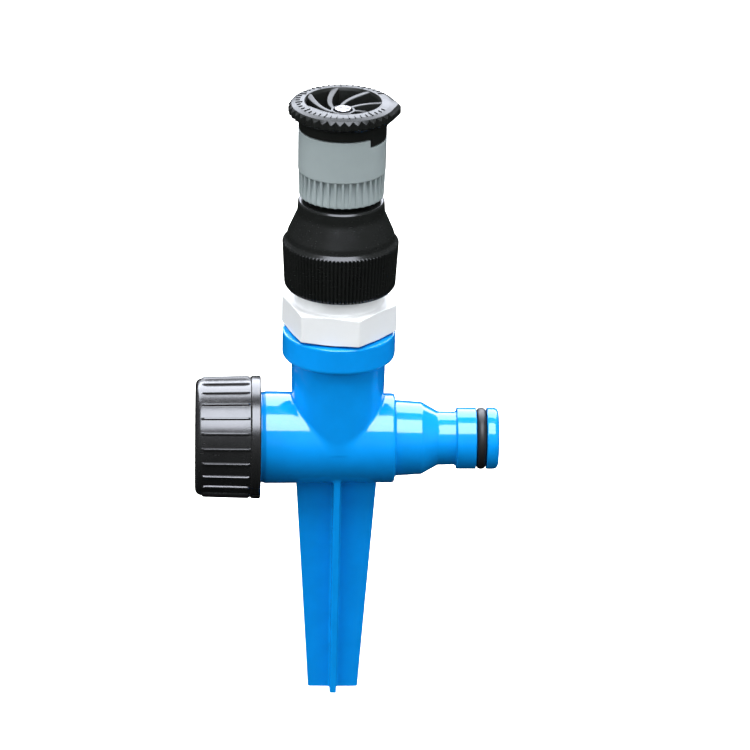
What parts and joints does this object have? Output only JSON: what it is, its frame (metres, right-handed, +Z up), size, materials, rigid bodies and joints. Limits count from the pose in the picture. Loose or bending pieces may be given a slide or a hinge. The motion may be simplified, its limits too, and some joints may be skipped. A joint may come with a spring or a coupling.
{
  "type": "garden spray head on a ground spike",
  "caption": "Ground spike with a hose tail, a capped barrel end and a riser that carries a spray nozzle with an adjustable arc and a central radius screw.",
  "frame": {"origin": "on the spike's axis at the ground line, the level to which the spike is pushed into the soil", "axes": "+Z up the riser, +X along the barrel towards the hose tail, -Y towards the front"},
  "size_m": [0.0789, 0.032, 0.2437],
  "materials": {
    "blue_plastic": "glossy injection-moulded polypropylene",
    "black_plastic": "semi-gloss moulded plastic",
    "grey_plastic": "satin moulded plastic",
    "white_plastic": "satin moulded plastic",
    "natural_plastic": "natural acetal",
    "rubber": "black nitrile",
    "steel": "stainless"
  },
  "bodies": {
    "ground_spike": {"spike_body": "blue_plastic", "tail_o_ring": "rubber", "hex_nipple": "white_plastic", "nipple_washer": "rubber"},
    "cap_seal": {"cap_washer": "rubber"},
    "cap": {"end_cap": "black_plastic"},
    "adapter_seal": {"adapter_washer": "rubber"},
    "adapter": {"shrub_adapter": "black_plastic"},
    "filter": {"filter_frame": "natural_plastic", "filter_screen": "steel"},
    "nozzle": {"nozzle_base": "grey_plastic", "nozzle_gasket": "rubber", "retaining_ring": "steel", "collar_spring": "steel", "valve_sleeve": "natural_plastic"},
    "arc_ring": {"arc_collar": "black_plastic", "spray_deflector": "black_plastic", "screw_seal": "rubber"},
    "screw": {"radius_screw": "steel"},
    "throttle": {"throttle_plug": "natural_plastic"}
  },
  "joints": [
    {"name": "cap_travel", "type": "slide", "parent": "ground_spike", "child": "cap_seal", "axis": [-1, 0, 0], "range_m": [0, 0.0091]},
    {"name": "cap_unscrew", "type": "hinge", "parent": "cap_seal", "child": "cap", "pos_m": [-0.028, 0, 0.0705], "axis": [-1, 0, 0], "range_deg": [0, 1800]},
    {"name": "adapter_travel", "type": "slide", "parent": "ground_spike", "child": "adapter_seal", "axis": [0, 0, 1], "range_m": [0, 0.0091]},
    {"name": "adapter_unscrew", "type": "hinge", "parent": "adapter_seal", "child": "adapter", "pos_m": [0, 0, 0.12], "axis": [0, 0, 1], "range_deg": [0, 1800]},
    {"name": "nozzle_travel", "type": "slide", "parent": "adapter", "child": "filter", "axis": [0, 0, 1], "range_m": [0, 0.0051]},
    {"name": "nozzle_unscrew", "type": "hinge", "parent": "filter", "child": "nozzle", "pos_m": [0, 0, 0.142], "axis": [0, 0, 1], "range_deg": [0, 1440]},
    {"name": "arc_setting", "type": "hinge", "parent": "nozzle", "child": "arc_ring", "pos_m": [0, 0, 0.16], "axis": [0, 0, 1], "range_deg": [0, 162]},
    {"name": "radius_turn", "type": "hinge", "parent": "nozzle", "child": "screw", "pos_m": [0, 0, 0.162], "axis": [0, 0, 1], "range_deg": [-901, 0]},
    {"name": "throttle_travel", "type": "slide", "parent": "nozzle", "child": "throttle", "axis": [0, 0, 1], "range_m": [0, 0.002]}
  ],
  "couplings": [
    {"joint": "cap_travel", "follows": "cap_unscrew", "m_per_rad": 0.00028871},
    {"joint": "adapter_travel", "follows": "adapter_unscrew", "m_per_rad": 0.00028871},
    {"joint": "nozzle_travel", "follows": "nozzle_unscrew", "m_per_rad": 0.00020213},
    {"joint": "radius_turn", "follows": "throttle_travel", "rad_per_m": -7854}
  ]
}
